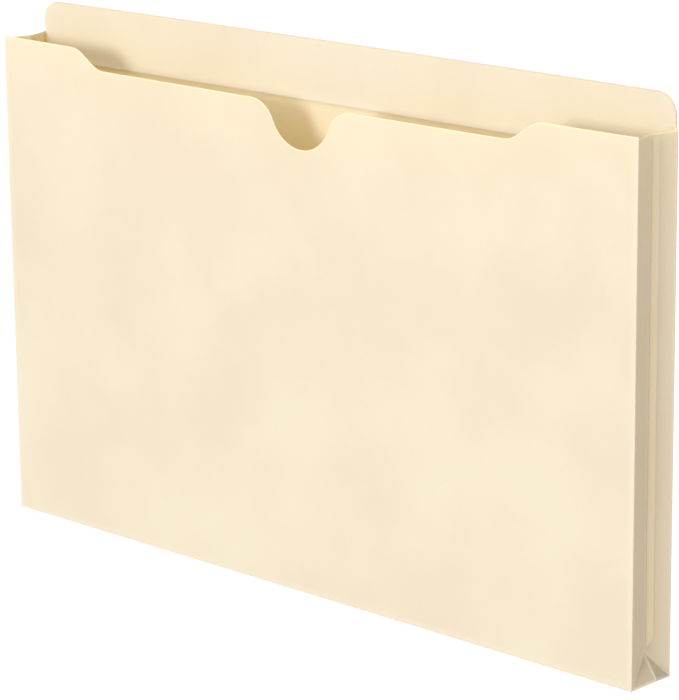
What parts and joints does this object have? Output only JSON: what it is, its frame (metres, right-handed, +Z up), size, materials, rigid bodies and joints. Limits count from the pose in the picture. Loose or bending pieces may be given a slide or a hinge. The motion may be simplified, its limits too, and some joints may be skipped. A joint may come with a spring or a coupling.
{
  "type": "file jacket",
  "caption": "Legal-size manila file jacket: a paper pocket with folded side and base gussets, a full-width tab on its back panel and a thumb cut in its front panel.",
  "frame": {"origin": "middle of the rectangle that the jacket stands on, under the bounding box centre", "axes": "+Z up, +X to the right along the width, the front panel faces -Y"},
  "size_m": [0.3798, 0.025, 0.2413],
  "materials": {
    "manila_panel": "matt 11 point manila, warm cream, faint fibre",
    "manila_gusset": "matt 11 point manila, creased",
    "manila_ply": "matt manila ply, pasted down, pale cut edge"
  },
  "bodies": {
    "back": {"back_panel": "manila_panel", "tab_reinforcement": "manila_ply"},
    "base_rear": {"base_gusset_rear": "manila_gusset", "right_rear_base_corner": "manila_gusset", "left_rear_base_corner": "manila_gusset"},
    "base_front": {"base_gusset_front": "manila_gusset", "right_front_base_corner": "manila_gusset", "left_front_base_corner": "manila_gusset"},
    "front": {"front_panel": "manila_panel"},
    "right_rear": {"right_gusset_rear": "manila_gusset", "right_gusset_glue_lap": "manila_ply"},
    "right_front": {"right_gusset_front": "manila_gusset"},
    "left_rear": {"left_gusset_rear": "manila_gusset", "left_gusset_glue_lap": "manila_ply"},
    "left_front": {"left_gusset_front": "manila_gusset"},
    "right_rear_web": {"right_rear_corner_web": "manila_gusset"},
    "right_front_web": {"right_front_corner_web": "manila_gusset"},
    "left_rear_web": {"left_rear_corner_web": "manila_gusset"},
    "left_front_web": {"left_front_corner_web": "manila_gusset"}
  },
  "joints": [
    {"name": "rear_base_crease", "type": "hinge", "parent": "back", "child": "base_rear", "pos_m": [0, 0.01217, 0.0003], "axis": [-1, 0, 0], "range_deg": [-18, 62], "deforming": ["right_rear_base_corner", "left_rear_base_corner"]},
    {"name": "centre_base_crease", "type": "hinge", "parent": "base_rear", "child": "base_front", "pos_m": [0, 0, 0.00394], "axis": [1, 0, 0], "range_deg": [-40, 134], "deforming": ["right_front_base_corner", "left_front_base_corner"]},
    {"name": "front_base_crease", "type": "hinge", "parent": "base_front", "child": "front", "pos_m": [0, -0.01217, 0.0003], "axis": [-1, 0, 0], "range_deg": [-20, 67]},
    {"name": "right_rear_side_crease", "type": "hinge", "parent": "back", "child": "right_rear", "pos_m": [0.18702, 0.01217, 0.1], "axis": [0, 0, -1], "range_deg": [-20, 67]},
    {"name": "right_centre_side_crease", "type": "hinge", "parent": "right_rear", "child": "right_front", "pos_m": [0.18339, 0, 0.1], "axis": [0, 0, 1], "range_deg": [-40, 134]},
    {"name": "left_rear_side_crease", "type": "hinge", "parent": "back", "child": "left_rear", "pos_m": [-0.18702, 0.01217, 0.1], "axis": [0, 0, 1], "range_deg": [-20, 67]},
    {"name": "left_centre_side_crease", "type": "hinge", "parent": "left_rear", "child": "left_front", "pos_m": [-0.18339, 0, 0.1], "axis": [0, 0, -1], "range_deg": [-40, 134]},
    {"name": "right_rear_web_crease", "type": "hinge", "parent": "right_rear", "child": "right_rear_web", "pos_m": [0.18731, 0.01208, 0.0003], "axis": [-0.2185, -0.6725, 0.7071], "range_deg": [-40, 134]},
    {"name": "right_front_web_crease", "type": "hinge", "parent": "right_front", "child": "right_front_web", "pos_m": [0.18731, -0.01208, 0.0003], "axis": [0.2185, -0.6725, -0.7071], "range_deg": [-40, 134]},
    {"name": "left_rear_web_crease", "type": "hinge", "parent": "left_rear", "child": "left_rear_web", "pos_m": [-0.18731, 0.01208, 0.0003], "axis": [-0.2185, 0.6725, -0.7071], "range_deg": [-40, 134]},
    {"name": "left_front_web_crease", "type": "hinge", "parent": "left_front", "child": "left_front_web", "pos_m": [-0.18731, -0.01208, 0.0003], "axis": [0.2185, 0.6725, 0.7071], "range_deg": [-40, 134]}
  ],
  "couplings": [
    {"joint": "centre_base_crease", "follows": "rear_base_crease", "ratio": 2},
    {"joint": "front_base_crease", "follows": "rear_base_crease", "ratio": 1},
    {"joint": "right_rear_side_crease", "follows": "rear_base_crease", "ratio": 1},
    {"joint": "right_centre_side_crease", "follows": "rear_base_crease", "ratio": 2},
    {"joint": "left_rear_side_crease", "follows": "rear_base_crease", "ratio": 1},
    {"joint": "left_centre_side_crease", "follows": "rear_base_crease", "ratio": 2},
    {"joint": "right_rear_web_crease", "follows": "rear_base_crease", "ratio": 2},
    {"joint": "right_front_web_crease", "follows": "rear_base_crease", "ratio": 2},
    {"joint": "left_rear_web_crease", "follows": "rear_base_crease", "ratio": 2},
    {"joint": "left_front_web_crease", "follows": "rear_base_crease", "ratio": 2}
  ]
}
